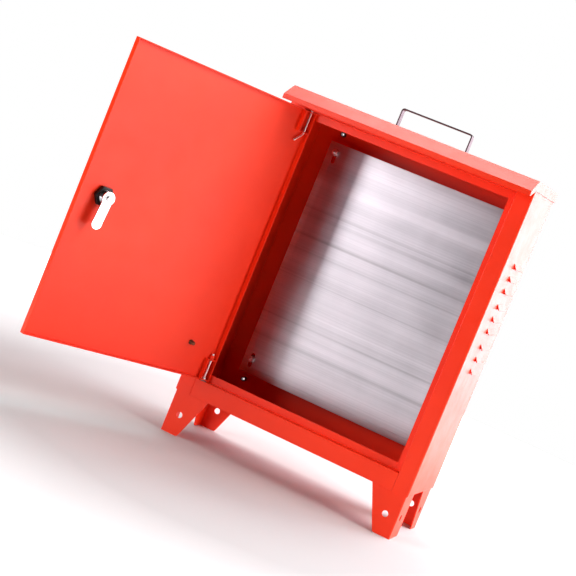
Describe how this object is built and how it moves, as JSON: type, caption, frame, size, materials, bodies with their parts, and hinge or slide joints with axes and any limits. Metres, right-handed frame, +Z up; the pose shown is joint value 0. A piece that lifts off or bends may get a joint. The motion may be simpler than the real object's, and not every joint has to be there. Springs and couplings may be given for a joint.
{
  "type": "electrical enclosure",
  "caption": "Portable sheet-steel control box with a rain hood, flush hinged door with cam lock, bare mounting plate, side louvres, strap handle and feet.",
  "frame": {"origin": "centre of the underside of the box floor, between the feet", "axes": "+X to the right seen from the front, +Y to the back wall, +Z up; the door is on the -Y face"},
  "size_m": [0.547, 0.4617, 0.601],
  "materials": {
    "red_paint": "satin orange-peel powder coat",
    "zinc": "bright zinc plate",
    "galvanised": "bare galvanised sheet with a fine rolled grain",
    "lock_chrome": "bright plated die casting",
    "black_nut": "black oxide",
    "copper": "copper flash",
    "rubber": "matte",
    "nylon": "natural nylon"
  },
  "bodies": {
    "cabinet": {"left_side_panel": "red_paint", "right_side_panel": "red_paint", "back_panel": "red_paint", "top_panel": "red_paint", "bottom_panel": "red_paint", "rain_hood": "red_paint", "front_left_foot": "red_paint", "front_right_foot": "red_paint", "rear_left_foot": "red_paint", "rear_right_foot": "red_paint", "carry_handle": "zinc", "handle_screws": "zinc", "handle_nuts": "zinc", "plate_studs": "zinc", "plate_spacers": "zinc", "plate_nuts": "zinc", "wall_inserts": "zinc", "mounting_plate": "galvanised", "cable_grommets": "rubber", "hinge_washer": "nylon"},
    "door": {"door_panel": "red_paint", "upper_hinge_bracket": "red_paint", "lower_hinge_bracket": "red_paint", "lower_hinge_pin": "zinc", "earth_stud": "copper", "lock_housing": "lock_chrome", "lock_nut": "black_nut"},
    "upper_pin": {"upper_hinge_pin": "zinc"},
    "lock": {"lock_core": "lock_chrome", "lock_cam": "lock_chrome", "cam_washer": "zinc", "cam_bolt": "zinc"}
  },
  "joints": [
    {"name": "door_hinge", "type": "hinge", "parent": "cabinet", "child": "door", "pos_m": [-0.1645, -0.0798, 0], "axis": [0, 0, 1], "range_deg": [-2.5, 121]},
    {"name": "upper_pin_slide", "type": "slide", "parent": "door", "child": "upper_pin", "axis": [0, 0, -1], "range_m": [0, 0.0125]},
    {"name": "lock_turn", "type": "hinge", "parent": "door", "child": "lock", "pos_m": [-0.31961, -0.32784, 0.24775], "axis": [-0.8572, 0.515, 0], "range_deg": [-5, 85]}
  ]
}
